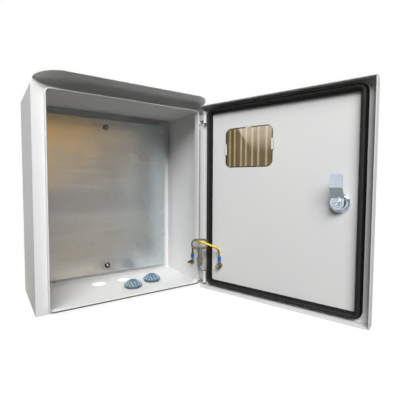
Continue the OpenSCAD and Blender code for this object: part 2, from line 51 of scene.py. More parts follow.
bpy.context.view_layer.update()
print("frame loaded:", len(frame["nodes"]), "nodes")


# the door stands open at rest, and its pieces are placed as on the shut door and swung with it
doorLook = {"axis": (167, -103.5), "open": 108}  # as in the part's source
hinge = Vector((doorLook["axis"][0] * mm, doorLook["axis"][1] * mm, 0))
doorSwing = (Matrix.Translation(hinge) @ Matrix.Rotation(math.radians(doorLook["open"]), 4, "Z")
             @ Matrix.Translation(-hinge))


# the photograph is 400 x 400, so lens and shift are worked out for a square frame
cameraLook = {
    "place": (-0.24247, -0.69385, 0.2342),
    "azimuth": 34.25,
    "elevation": -3.16,
    "roll": 0.29,
    "focalPixels": 319.45,
    "centre": (201.94, 200.37),
    "frame": 400,
    "sensor": 36,
    "nearest": 0.01,
}


def addCamera(look):
    azimuth, elevation, roll = (math.radians(look[k]) for k in ("azimuth", "elevation", "roll"))
    forward = Vector((
        math.sin(azimuth) * math.cos(elevation),
        math.cos(azimuth) * math.cos(elevation),
        math.sin(elevation),
    ))
    right = Vector((math.cos(azimuth), -math.sin(azimuth), 0))
    up = right.cross(forward)
    rolledRight = right * math.cos(roll) + up * math.sin(roll)
    rolledUp = rolledRight.cross(forward)
    bpy.ops.object.camera_add()
    camera = bpy.context.object
    camera.name = "photoCamera"
    turn = Matrix((rolledRight, rolledUp, -forward)).transposed().to_4x4()
    camera.matrix_world = Matrix.Translation(look["place"]) @ turn
    lens = camera.data
    lens.sensor_width = look["sensor"]
    lens.lens = look["focalPixels"] / look["frame"] * lens.sensor_width
    lens.shift_x = (look["frame"] / 2 - look["centre"][0]) / look["frame"]
    lens.shift_y = (look["centre"][1] - look["frame"] / 2) / look["frame"]
    lens.clip_start = look["nearest"]
    bpy.context.scene.camera = camera


def deselectAll():
    bpy.ops.object.select_all(action="DESELECT")


deselectAll()
addCamera(cameraLook)
print("camera set")


# a socket of a shader tree, so that shader sums read as plain sums
class Flow:
    def __init__(self, tree, socket=None):
        self.tree, self.socket = tree, socket

    def node(self, kind, settings=None, sockets=None, out=0):
        made = self.tree.nodes.new(kind)
        for key, value in (settings or {}).items():
            if key == "stops":  # a ramp's places and colours
                ramp = made.color_ramp.elements
                while len(ramp) < len(value):
                    ramp.new(0.5)
                for stop, (at, colour) in zip(ramp, value):
                    stop.position, stop.color = at, colour
            else:
                setattr(made, key, value)
        for key, value in (sockets or {}).items():
            if isinstance(value, Flow):
                self.tree.links.new(value.socket, made.inputs[key])
            else:
                made.inputs[key].default_value = value
        return Flow(self.tree, made.outputs[out])

    def sum(self, operation, *values):
        return self.node("ShaderNodeMath", {"operation": operation}, dict(enumerate(values)))

    def __add__(self, other):
        return self.sum("ADD", self, other)

    __radd__ = __add__

    def __sub__(self, other):
        return self.sum("SUBTRACT", self, other)

    def __rsub__(self, other):
        return self.sum("SUBTRACT", other, self)

    def __mul__(self, other):
        return self.sum("MULTIPLY", self, other)

    __rmul__ = __mul__

    def __abs__(self):
        return self.sum("ABSOLUTE", self)


def rgba(colour):
    return (*colour, 1)


def mixed(mask, low, high):  # low where the mask is 0, high where it is 1
    colours = [c if isinstance(c, Flow) else rgba(c) for c in (low, high)]
    settings = {"data_type": "RGBA", "clamp_factor": True}
    return mask.node("ShaderNodeMix", settings, {0: mask, 6: colours[0], 7: colours[1]}, 2)


def eased(value, low, high):  # 0 below low, 1 above high
    sockets = {"Value": value, "From Min": low, "From Max": high}
    return value.node("ShaderNodeMapRange", {"interpolation_type": "SMOOTHSTEP"}, sockets)


def shared(first, second, share):  # the second one's share of the two
    return first * (1 - share) + second * share


def axis(at, k):  # 0, 1 or 2 for how far across, how deep or how high
    return at.node("ShaderNodeSeparateXYZ", None, {0: at}, k)


def grain(at, scale, detail=2.0, roughness=0.5):
    sockets = {"Vector": at, "Scale": scale, "Detail": detail, "Roughness": roughness}
    return at.node("ShaderNodeTexNoise", None, sockets)


def stretched(at, size, turn=(0, 0, 0), move=(0, 0, 0)):
    sockets = {"Vector": at, "Location": move, "Rotation": turn, "Scale": size}
    return at.node("ShaderNodeMapping", {"vector_type": "POINT"}, sockets)


def onShutDoor(at):  # the place that a point of the open door has when the door is shut
    turn = math.radians(-doorLook["open"])
    return stretched(at, (1, 1, 1), (0, 0, turn), doorSwing.inverted().translation)


class Finish:
    def __init__(self, name, constants):
        self.material = bpy.data.materials.new(name)
        self.material.use_nodes = True
        self.tree = self.material.node_tree
        self.shader = self.tree.nodes["Principled BSDF"]
        for key, value in constants.items():
            self.shader.inputs[key].default_value = value
        self.at = Flow(self.tree).node("ShaderNodeTexCoord", out="Object")

    def feed(self, socket, flow):
        self.tree.links.new(flow.socket, self.shader.inputs[socket])

    def roughen(self, least, more, pattern):
        self.feed("Roughness", least + pattern * more)

    def bump(self, height, strength, distance):
        sockets = {"Height": height, "Strength": strength, "Distance": distance}
        self.feed("Normal", height.node("ShaderNodeBump", None, sockets))


# in the looks below a grain is its scale, detail and roughness, "rough" the least roughness and what the
# grain adds, and "bump" a strength and a depth in metres
toneCut = (0.3, 0.7)  # where a grain turns from the low tone to the high one

paintLook = {
    "cool": (0.715, 0.722, 0.726),
    "warm": (0.752, 0.750, 0.738),
    "cloud": (7, 4),
    "peel": (620, 3, 0.6),
    "fleck": (2480, 1),
    "fleckTone": 0.3,
    "fleckBump": 0.35,
    "rough": (0.46, 0.16),
    "gloss": 0.22,
    "bump": (0.35, 0.00025),
}


def paintFinish(look):
    finish = Finish("greyPaint", {"Specular IOR Level": look["gloss"]})
    cloud, peel, fleck = (grain(finish.at, *look[name]) for name in ("cloud", "peel", "fleck"))
    tone = eased(shared(cloud, fleck, look["fleckTone"]), *toneCut)
    finish.feed("Base Color", mixed(tone, look["cool"], look["warm"]))
    finish.roughen(*look["rough"], peel)
    finish.bump(peel + fleck * look["fleckBump"], *look["bump"])
    return finish.material


plateLook = {
    "grey": (0.62, 0.625, 0.62),
    "dull": (0.49, 0.49, 0.485),
    "metal": 0.92,
    "gloss": 0.4,
    "wobble": (14, 2),
    "cloud": (6, 3),
    "streak": (1, 4, 0.6),
    "streakSize": (7, 1, 70),
    "cloudTone": 0.45,
    "cut": (0.3, 0.68),
    "rough": (0.22, 0.12),
    "bump": (0.05, 0.0001),
    "paintedReflections": {  # painted reflections, laid on in this order, each from nothing to its share and with a wandering edge
        # warm is a painted highlight, band a darker painted reflection, brown and blue tinted painted
        # reflections
        "warm": {"colour": (0.82, 0.64, 0.38), "share": 0.9, "wander": 0.16, "from": (0.34, 0.54), "lean": 0.9},
        "band": {"colour": (0.44, 0.445, 0.45), "share": 0.8, "wander": 0.03, "from": (0.012, 0.04),
                 "height": 0.205},
        "brown": {"colour": (0.70, 0.64, 0.56), "share": 0.6, "wander": 0.1, "from": (0.04, 0.14),
                  "below": 0.16, "leftOf": (-0.02, 0.09)},
        "blue": {"colour": (0.68, 0.75, 0.78), "share": 0.8, "wander": 0.12, "from": (0.03, 0.2)},
    },
}


def plateFinish(look):
    finish = Finish("galvanisedPlate", {"Metallic": look["metal"], "Specular IOR Level": look["gloss"]})
    wobble, cloud = (grain(finish.at, *look[name]) for name in ("wobble", "cloud"))
    streak = grain(stretched(finish.at, look["streakSize"]), *look["streak"])
    across, height = (axis(finish.at, k) for k in (0, 2))
    warm, band, brown, blue = look["paintedReflections"].values()
    upperLeft = height * warm["lean"] - across + wobble * warm["wander"]
    fromMiddle = abs(height + wobble * band["wander"] - band["height"])
    lower = brown["below"] - height + wobble * brown["wander"]
    reach = {
        "warm": eased(upperLeft, *warm["from"]),
        "band": 1 - eased(fromMiddle, *band["from"]),
        "brown": eased(lower, *brown["from"]) * (1 - eased(across, *brown["leftOf"])),
        "blue": eased(across + wobble * blue["wander"], *blue["from"]),
    }
    tone = eased(shared(streak, cloud, look["cloudTone"]), *look["cut"])
    colour = mixed(tone, look["dull"], look["grey"])
    # the painted reflections are laid over the plate's own tone
    for name, patch in look["paintedReflections"].items():
        colour = mixed(reach[name] * patch["share"], colour, patch["colour"])
    finish.feed("Base Color", colour)
    finish.roughen(*look["rough"], cloud)
    finish.bump(streak, *look["bump"])
    return finish.material


metalLooks = {
    "zinc": {"low": (0.52, 0.60, 0.69), "high": (0.62, 0.70, 0.78), "rough": (0.10, 0.12), "scale": 700},
    "nickel": {"low": (0.30, 0.285, 0.26), "high": (0.48, 0.46, 0.42), "rough": (0.08, 0.10), "scale": 500},
    # painted shade and dark reflection: the plate fixings' zinc made darker
    "burnished": {"low": (0.14, 0.12, 0.11), "high": (0.34, 0.31, 0.29), "rough": (0.05, 0.08), "scale": 500},
    "passivated": {"low": (0.16, 0.10, 0.06), "high": (0.46, 0.36, 0.27), "rough": (0.05, 0.08), "scale": 400},
    "darkSteel": {"low": (0.045, 0.045, 0.047), "high": (0.085, 0.085, 0.088), "rough": (0.25, 0.15),
                  "scale": 500},
    "chrome": {"low": (0.66, 0.67, 0.69), "high": (0.76, 0.77, 0.79), "rough": (0.06, 0.08), "scale": 500},
    "tinnedCopper": {"low": (0.56, 0.44, 0.32), "high": (0.72, 0.64, 0.54), "rough": (0.16, 0.16),
                     "scale": 600},
}
scratchLook = {"size": (1, 1, 9), "lean": (0.3, 0.2, 0), "finer": 2, "bump": (0.12, 0.00008)}


def metalFinish(name, look, scratches=scratchLook):
    finish = Finish(name, {"Metallic": 1.0})
    blotch = grain(finish.at, look["scale"], detail=3)
    lines = stretched(finish.at, scratches["size"], scratches["lean"])
    finish.feed("Base Color", mixed(eased(blotch, *toneCut), look["low"], look["high"]))
    finish.roughen(*look["rough"], blotch)
    finish.bump(grain(lines, scratches["finer"] * look["scale"]), *scratches["bump"])
    return finish.material


rubberLooks = {
    "gasketFoam": {"low": (0.0018, 0.0018, 0.0020), "high": (0.0080, 0.0076, 0.0070), "rough": (0.50, 0.3),
                   "scale": 900, "bump": (0.4, 0.0004), "gloss": 0.20,
                   # crown: a lighter ridge, a painted highlight
                   "crown": (0.028, 0.027, 0.025), "crownFrom": (-100.4, -98.2), "crownShare": 0.5},
    # darker than the ribs: painted shade in the recesses between them
    "grommetShadedRubber": {"low": (0.090, 0.145, 0.190), "high": (0.140, 0.210, 0.260), "rough": (0.34, 0.25),
                      "scale": 420, "bump": (0.4, 0.0002), "gloss": 0.4},
    "grommetRib": {"low": (0.320, 0.430, 0.510), "high": (0.400, 0.520, 0.590), "rough": (0.34, 0.25),
                   "scale": 420, "bump": (0.4, 0.0002), "gloss": 0.4},
    "blueVinyl": {"low": (0.002, 0.105, 0.400), "high": (0.006, 0.180, 0.600), "rough": (0.22, 0.2),
                  "scale": 500, "bump": (0.4, 0.0001), "gloss": 0.4},
}
poreLook = {"detail": 4, "roughness": 0.65, "cloudSize": 14, "cloudTone": 0.5, "cut": (0.32, 0.7)}


def rubberFinish(name, look, skin=poreLook):
    finish = Finish(name, {"Specular IOR Level": look["gloss"]})
    pores = grain(finish.at, look["scale"], skin["detail"], skin["roughness"])
    cloud = grain(finish.at, look["scale"] / skin["cloudSize"], detail=3)
    tone = eased(shared(pores, cloud, skin["cloudTone"]), *skin["cut"])
    colour = mixed(tone, look["low"], look["high"])
    if "crown" in look:  # painted highlight: the ridge is made lighter
        ridgeHighlight = eased(axis(onShutDoor(finish.at), 1), *(y * mm for y in look["crownFrom"]))
        least = look["crownShare"]
        colour = mixed(ridgeHighlight * (least + cloud * (1 - least)), colour, look["crown"])
    finish.feed("Base Color", colour)
    finish.roughen(*look["rough"], pores)
    finish.bump(pores, *look["bump"])
    return finish.material


wireLook = {
    "yellow": (0.95, 0.70, 0.008),
    "shade": (0.84, 0.57, 0.006),
    "green": (0.008, 0.045, 0.016),
    "stripe": (0.47, 0.70),  # share of the way round
    "edge": 0.02,
    "twist": (0.14, 0.05, 0.30),  # how far the stripe turns, and between which shares of the length
    "blotch": (380, 2),
    "rough": (0.34, 0.18),
    "gloss": 0.45,
    "bump": (0.1, 0.0001),
}


def wireFinish(look):
    finish = Finish("stripedVinyl", {"Specular IOR Level": look["gloss"]})
    girth = finish.at.node("ShaderNodeUVMap", {"uv_map": "roundAndAlong"})
    turn, start, stop = look["twist"]
    around = axis(girth, 0) - turn + eased(axis(girth, 1), start, stop) * turn
    blotch = grain(finish.at, *look["blotch"])
    begin, end = (eased(around, at - look["edge"], at + look["edge"]) for at in look["stripe"])
    yellow = mixed(eased(blotch, *toneCut), look["shade"], look["yellow"])
    finish.feed("Base Color", mixed(begin * (1 - end), yellow, look["green"]))
    finish.roughen(*look["rough"], blotch)
    finish.bump(blotch, *look["bump"])
    return finish.material


paneLook = {  # places and widths in millimetres on the shut door
    "bronze": (0.088, 0.062, 0.027),
    "deep": (0.058, 0.041, 0.018),
    "clear": 0.92,
    "refraction": 1.49,
    "haze": (40, 3),
    "lineSize": (700, 1, 5),
    "lineTone": 0.6,
    "cut": (0.35, 0.65),
    # rib: lighter lines along the flutes, painted highlights
    "rib": (0.36, 0.29, 0.17),
    "ribs": (105.5, 93.5, 78, 66.5, 52, 38, 20.5),
    "ribWidth": (1.1, 2.6),
    "ribShare": (0.55, 0.5),  # least, and what the haze adds
    "film": (0.56, 0.49, 0.39),  # painted reflection on the upper corner
    "paintedGlareEdge": (90, 349, 0.75),  # where it starts across and up, and how far it leans
    "paintedGlareSoft": 3,
    "paintedGlareFade": (292, 340),
    "filmShare": (0.2, 0.3),
    "rim": (0.012, 0.009, 0.006),
    "rimSoft": 1,
    "middle": (61, 308),
    "half": (52.3, 38.8),
    "rough": (0.05, 0.12),
}


def paneFinish(look):
    finish = Finish("bronzePane", {"Transmission Weight": look["clear"], "IOR": look["refraction"]})
    shut = onShutDoor(finish.at)
    across, up = (axis(shut, k) for k in (0, 2))
    haze = grain(finish.at, *look["haze"])
    line = grain(stretched(shut, look["lineSize"]), 1)
    tone = eased(shared(haze, line, look["lineTone"]), *look["cut"])
    inner, outer = (width * mm for width in look["ribWidth"])
    # lighter lines along the flutes: painted highlights
    paintedHighlightLines = [1 - eased(abs(across - rib * mm), inner, outer) for rib in look["ribs"]]
    ribs = sum(paintedHighlightLines[1:], paintedHighlightLines[0])
    side, top, lean = look["paintedGlareEdge"]
    edge = (side - lean * top) * mm
    # a pale painted reflection over the upper corner
    corner = 1 - eased(across - up * lean, edge - look["paintedGlareSoft"] * mm, edge)
    film = corner * eased(up, *(z * mm for z in look["paintedGlareFade"]))
    colour = mixed(tone, look["deep"], look["bronze"])
    for mask, name in ((ribs, "rib"), (film, "film")):
        least, more = look[name + "Share"]
        colour = mixed(mask * (least + haze * more), colour, look[name])
    past = [abs(at - middle * mm) - half * mm
            for at, middle, half in zip((across, up), look["middle"], look["half"])]
    rim = eased(past[0].sum("MAXIMUM", *past), 0, look["rimSoft"] * mm)
    finish.feed("Base Color", mixed(rim, colour, look["rim"]))
    finish.roughen(*look["rough"], haze)
    return finish.material


clipLook = {
    "low": (0.62, 0.62, 0.60),
    "high": (0.744, 0.744, 0.72),
    "cloud": (300, 3),
    "rough": (0.3, 0.2),
    "gloss": 0.5,
    "bump": (0.2, 0.0001),
}


def clipFinish(look):
    finish = Finish("clipPlastic", {"Specular IOR Level": look["gloss"]})
    cloud = grain(finish.at, *look["cloud"])
    finish.feed("Base Color", mixed(eased(cloud, *toneCut), look["low"], look["high"]))
    finish.roughen(*look["rough"], cloud)
    finish.bump(cloud, *look["bump"])
    return finish.material


finishes = {
    "grey_paint": paintFinish(paintLook),
    "plate_steel": plateFinish(plateLook),
    "zinc": metalFinish("zinc", metalLooks["zinc"]),
    "chrome": metalFinish("chrome", metalLooks["chrome"]),
    "tinned_copper": metalFinish("tinnedCopper", metalLooks["tinnedCopper"]),
    "gasket_foam": rubberFinish("gasketFoam", rubberLooks["gasketFoam"]),
    "grommet_rubber": rubberFinish("grommetShadedRubber", rubberLooks["grommetShadedRubber"]),
    "blue_vinyl": rubberFinish("blueVinyl", rubberLooks["blueVinyl"]),
    "wire_vinyl": wireFinish(wireLook),
    "smoked_pane": paneFinish(paneLook),
}
ribMaterial = rubberFinish("grommetRib", rubberLooks["grommetRib"])
clipMaterial = clipFinish(clipLook)
darkerMetals = {  # duller than their slot's own zinc; the plate fixings' one is painted shade and dark reflection
    name: metalFinish(name, metalLooks[name]) for name in ("nickel", "burnished", "passivated", "darkSteel")
}
for part in frame["record"]["subparts"]:
    solid = frame["nodes"][part["node"]]
    solid.data.materials.clear()
    solid.data.materials.append(finishes[part["material_slot"]])
print("finishes on every node:", len(finishes))


# what counts as one point or a sliver, in metres, and as flat, an edge or a smooth bend, in degrees
meshLook = {"merge": 1e-6, "sliver": 1e-7, "copyMerge": 2e-6, "flat": 1, "edge": 28, "smooth": 32}


# a place in millimetres, tilted about X and then turned about Z
def place(x, y, z, tilt=0, turn=0):
    return (Matrix.Translation((x * mm, y * mm, z * mm))
            @ Matrix.Rotation(math.radians(turn), 4, "Z") @ Matrix.Rotation(math.radians(tilt), 4, "X"))


def edit():
    bpy.ops.object.mode_set(mode="EDIT")
    bpy.ops.mesh.select_all(action="SELECT")


def leave():
    bpy.ops.object.mode_set(mode="OBJECT")


# a closed section of (radius, height) pairs in millimetres, spun round Z
def spun(section, sides):
    deselectAll()
    bpy.ops.mesh.primitive_circle_add(vertices=len(section), radius=mm)
    for point, (radius, height) in zip(bpy.context.object.data.vertices, section):
        point.co = (radius * mm, 0, height * mm)
    edit()
    bpy.ops.mesh.spin(steps=sides, angle=fullTurn, center=(0, 0, 0), axis=(0, 0, 1))
    bpy.ops.mesh.select_all(action="SELECT")
    bpy.ops.mesh.remove_doubles(threshold=meshLook["merge"])
    bpy.ops.mesh.dissolve_degenerate(threshold=meshLook["sliver"])
    bpy.ops.mesh.delete_loose()
    bpy.ops.mesh.select_all(action="SELECT")
    bpy.ops.mesh.normals_make_consistent(inside=False)
    leave()
    return bpy.context.object


def applied(piece, kind, **settings):
    bpy.context.view_layer.objects.active = piece
    added = piece.modifiers.new(kind.lower(), kind)
    for key, value in settings.items():
        setattr(added, key, value)
    bpy.ops.object.modifier_apply(modifier=added.name)


def settled(piece, *matrices):  # moves the mesh itself, the object stays at the origin
    for matrix in matrices:
        piece.matrix_world = matrix @ piece.matrix_world
    deselectAll()
    piece.select_set(True)
    bpy.context.view_layer.objects.active = piece
    bpy.ops.object.transform_apply(location=True, rotation=True, scale=True)
    return piece


def copied(piece):
    twin = piece.copy()
    twin.data = piece.data.copy()
    bpy.context.scene.collection.objects.link(twin)
    return twin


def joined(pieces):
    deselectAll()
    for piece in pieces:
        piece.select_set(True)
    bpy.context.view_layer.objects.active = pieces[0]
    if len(pieces) > 1:
        bpy.ops.object.join()
    return bpy.context.object


def finished(piece, name, body, slot, nodes, angle=meshLook["smooth"], material=None):
    piece.name = piece.data.name = name
    deselectAll()
    piece.select_set(True)
    bpy.context.view_layer.objects.active = piece
    bpy.ops.object.shade_smooth_by_angle(angle=math.radians(angle))
    applied(piece, "WEIGHTED_NORMAL", keep_sharp=True, weight=100)  # flat between soft edges
    piece.data.materials.clear()
    piece.data.materials.append(material or finishes[slot])
    if body:
        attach(piece, body)
    if nodes:
        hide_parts(*nodes)
    return piece


# a merged copy of CAD nodes with softened edges
def softened(nodes, width, segments=2):
    parts = []
    for name in nodes:
        solid = frame["nodes"][name]
        twin = bpy.data.objects.new(name + "Soft", solid.data.copy())
        bpy.context.scene.collection.objects.link(twin)
        parts.append(twin)
    piece = joined(parts)
    edit()
    bpy.ops.mesh.remove_doubles(threshold=meshLook["copyMerge"])
    bpy.ops.mesh.dissolve_limited(angle_limit=math.radians(meshLook["flat"]))
    bpy.ops.mesh.select_all(action="SELECT")
    bpy.ops.mesh.normals_make_consistent(inside=False)
    leave()
    applied(piece, "BEVEL", width=width * mm, segments=segments, limit_method="ANGLE",
            angle_limit=math.radians(meshLook["edge"]), use_clamp_overlap=True)
    return piece


# the earth wire: its route is the one in the part's source
wireRoute = {
    "diameter": 4.6,
    "sides": 14,
    "steps": 6,
    "start": (170.2, -47, 59.3),
    "end": (181.774, -140.232, 68.3),
    "out": ((0, 0, 0), (0, 0, 7), (-0.5, -2, 16), (-7, -11, 30), (-20, -30, 39), (-25, -50, 45.5),
            (-29, -75, 46.5)),
    "back": ((-37.5, 5.5, 37), (-28, -5, 32), (-15, -7.5, 26.5), (-4.6, -3.8, 18.5), (-0.5, -0.4, 9.5),
             (0, 0, 0)),
    "bendFrom": (150, -97, 60),  # the box holds it up to here when the door swings
    "bendTo": (143, -131, 60),
    "capAt": (0.1, 0),  # the ends' place on the UV map
    "smooth": 60,
}


def wirePath(route):
    start, end = Vector(route["start"]), Vector(route["end"])
    marks = [start + Vector(p) for p in route["out"]] + [end + Vector(p) for p in route["back"]]
    last = len(marks) - 1
    path = []
    for i in range(last):
        a, b, c, d = (marks[min(max(k, 0), last)] for k in (i - 1, i, i + 1, i + 2))
        for step in range(route["steps"]):
            t = step / route["steps"]
            path.append((2 * b + (c - a) * t + (2 * a - 5 * b + 4 * c - d) * t * t
                         + (3 * b - a - 3 * c + d) * t ** 3) * 0.5 * mm)
    return path + [marks[last] * mm]


def addWire(route):
    path = wirePath(route)
    sides, radius = route["sides"], route["diameter"] / 2 * mm
    side, rings = Vector((1, 0, 0)), []
    for i, point in enumerate(path):
        ahead = (path[min(i + 1, len(path) - 1)] - path[max(i - 1, 0)]).normalized()
        side = (side - ahead * side.dot(ahead)).normalized()
        up = ahead.cross(side)
        rings.append([point + radius * (math.cos(a) * side + math.sin(a) * up)
                      for a in (fullTurn * k / sides for k in range(sides))])
    points = [p for ring in rings for p in ring]
    walls = [(i * sides + k, i * sides + (k + 1) % sides,
              (i + 1) * sides + (k + 1) % sides, (i + 1) * sides + k)
             for i in range(len(path) - 1) for k in range(sides)]
    caps = [tuple(reversed(range(sides))), tuple(range((len(path) - 1) * sides, len(path) * sides))]
    mesh = bpy.data.meshes.new("earthWire")
    mesh.from_pydata(points, [], walls + caps)
    wire = bpy.data.objects.new("earthWire", mesh)
    bpy.context.scene.collection.objects.link(wire)
    uv = mesh.uv_layers.new(name="roundAndAlong")
    for face in mesh.polygons:
        wall = face.index < len(walls)
        for corner, loop in enumerate(face.loop_indices):
            k = face.index % sides + (1 if corner in (1, 2) else 0)
            i = face.index // sides + (1 if corner in (2, 3) else 0)
            uv.data[loop].uv = (k / sides, i / len(path)) if wall else route["capAt"]
    finished(wire, "earthWire", None, "wire_vinyl", ["earth_wire"], route["smooth"])
    length = sum((b - a).length for a, b in zip(path, path[1:]))
    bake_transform(wire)
    return length


print("earth wire, metres:", round(addWire(wireRoute), 4))


# M6 fixings: threaded studs and chamfered nuts
fixingLook = {
    "threadTop": 3.0,
    "threadRoot": 2.46,
    "pitch": 1.0,
    "thread": (0.3, 0.45, 0.85),  # shares of the pitch where the root starts and ends and the top starts
    "runOut": 0.4,
    "tip": (0.3, 0.5),  # chamfer along the stud and across it
    "flats": 10,
    "nut": 5,
    "sides": 40,
    "smooth": 20,
    "earthStud": (16, 3),  # length, and where the thread starts
    "earthNutFrom": 2.8,
    "plateStud": (22.9, 12),
    "plateNutFrom": 14.9,
    "plateBack": 83.8,
    "plateHeights": (32.5, 364.5),
}
nutLook = {
    "corners": 6,
    "face": 0.96,  # share of the flats that the flat end keeps
    "slope": 0.577,
    "lead": 0.45,  # countersink of the bore
}
earthPlaces = {
    "body": ("enclosure", place(173.8, -47, 43, 90, -90)),
    "door": ("door", doorSwing @ place(127.5, -109.8, 52, 90, 180)),
}


def studSection(length, plain, look):
    top, root, pitch = look["threadTop"], look["threadRoot"], look["pitch"]
    dip, rise, crest = (share * pitch for share in look["thread"])
    along, across = look["tip"]
    section = [(0, 0), (top, 0), (top, plain)]
    height = plain
    while height + pitch < length - look["runOut"]:
        section += [(root, height + dip), (root, height + rise), (top, height + crest), (top, height + pitch)]
        height += pitch
    return section + [(root, length - along), (root - across, length), (0, length)]


def hexNut(flats, bore, height, sides, look=nutLook):
    inner, outer = flats / 2 * look["face"], flats / 2 / math.cos(math.pi / look["corners"])
    fall, lead = (outer - inner) * look["slope"], look["lead"]
    piece = spun([
        (bore / 2, lead), (bore / 2 + lead, 0), (inner, 0), (outer, fall),
        (outer, height - fall), (inner, height), (bore / 2 + lead, height), (bore / 2, height - lead),
    ], sides)
    for side in range(look["corners"]):
        angle = (side + 0.5) * fullTurn / look["corners"]
        outward = Vector((math.cos(angle), math.sin(angle), 0))
        edit()
        bpy.ops.mesh.bisect(plane_co=outward * flats / 2 * mm, plane_no=outward, use_fill=True,
                            clear_outer=True)
        leave()
    return piece


def addFixings(look):
    nutSizes = (look["flats"], 2 * look["threadTop"], look["nut"], look["sides"])
    for name, (body, matrix) in earthPlaces.items():
        metal = darkerMetals["passivated"]
        stud = settled(spun(studSection(*look["earthStud"], look), look["sides"]), matrix)
        finished(stud, name + "EarthStud", body, "zinc", [name + "_earth_stud"], look["smooth"], metal)
        lift = Matrix.Translation((0, 0, look["earthNutFrom"] * mm))
        nut = settled(hexNut(*nutSizes), lift, matrix)
        finished(nut, name + "EarthNut", body, "zinc", [name + "_earth_nut"], material=metal)
    stud = spun(studSection(*look["plateStud"], look), look["sides"])
    nut = settled(hexNut(*nutSizes), Matrix.Translation((0, 0, look["plateNutFrom"] * mm)))
    for model, name, node, angle in (
        (stud, "plateStuds", "plate_studs", look["smooth"]),
        (nut, "plateNuts", "plate_nuts", meshLook["smooth"]),
    ):
        twins = [model, copied(model)]
        for twin, z in zip(twins, look["plateHeights"]):
            settled(twin, place(0, look["plateBack"], z, 90))
        # the plate studs and nuts take the darkened zinc: painted shade and dark reflection
        finished(joined(twins), name, "enclosure", "zinc", [node], angle, darkerMetals["burnished"])


addFixings(fixingLook)
print("M6 fixings modelled")


# lock: barrel, nut, cam washer and cam screw are spun, the other pieces are copies with soft edges
lockLook = {
    "across": -120,
    "height": 201,
    "inner": -109.8,  # the door's inner face, from which the heights below count
    "bore": 6.05,
    "barrel": 10,
    "root": 9.35,
    "pitch": 1.5,
    "dip": 0.55,  # share of the pitch where the thread is at its root
    "runOut": 0.5,
    "tip": (0.3, 0.5),  # chamfer along the barrel and across it
    "head": (13.5, -6.2, -2.2),  # radius, front and seat
    "headEdge": (1.2, 1),
    "recess": (9, -3.2),  # radius and floor
    "recessEdge": 0.4,
    "end": 14,
    "flats": 30,
    "nut": (1.2, 6),  # where it starts, and its height
    "nutTurn": 30,
    "sides": 56,
    "smooth": 25,
    "washer": ((2.2, 16.3), (7.5, 16.3), (7.5, 16.5), (6.7, 17.3), (2.2, 17.3)),
    "screw": ((0, 14.3), (2, 14.3), (2, 17.3), (4.2, 17.3), (4.5, 17.6), (4.5, 18.8), (3.7, 19.7), (3.2, 19.9),
              (2.6, 19.9), (2.2, 19.5), (2.2, 18.3), (0, 18.1)),
    "soft": (  # node, body, slot and width of the soft edge
        ("lock_washer", "door", "zinc", 0.3),
        ("lock_plug", "lock_cam_set", "chrome", 0.25),
        ("lock_cam", "lock_cam_set", "zinc", 0.6),
    ),
}


def barrelSection(look):
    bore, barrel, root, pitch, end = (look[name] for name in ("bore", "barrel", "root", "pitch", "end"))
    head, front, seat = look["head"]
    headAcross, headAlong = look["headEdge"]
    recess, floorAt = look["recess"]
    edge = look["recessEdge"]
    along, across = look["tip"]
    section = [(bore, floorAt), (recess, floorAt), (recess, front + edge), (recess + edge, front),
               (head - headAcross, front), (head, front + headAlong), (head, seat), (barrel, seat), (barrel, 0)]
    height = 0
    while height + pitch < end - look["runOut"]:
        section += [(root, height + look["dip"] * pitch), (barrel, height + pitch)]
        height += pitch
    return section + [(root, end - along), (root - across, end), (bore, end)]


def addLock(look):
    matrix = doorSwing @ place(look["across"], look["inner"], look["height"], 90, 180)
    barrel = settled(spun(barrelSection(look), look["sides"]), matrix)
    finished(barrel, "lockBarrel", "door", "chrome", ["lock_barrel"], look["smooth"])
    start, tall = look["nut"]
    turned = Matrix.Rotation(math.radians(look["nutTurn"]), 4, "Z")
    nut = hexNut(look["flats"], 2 * look["barrel"], tall, look["sides"])
    settled(nut, turned, Matrix.Translation((0, 0, start * mm)), matrix)
    finished(nut, "lockNut", "door", "zinc", ["lock_nut"])
    for node, body, slot, width in look["soft"]:
        finished(softened([node], width), node + "Soft", body, slot, [node])
    for name, node in (("washer", "cam_washer"), ("screw", "cam_screw")):
        piece = settled(spun(look[name], look["sides"]), matrix)
        finished(piece, node + "Spun", "lock_cam_set", "zinc", [node], look["smooth"])


addLock(lockLook)
print("lock modelled")


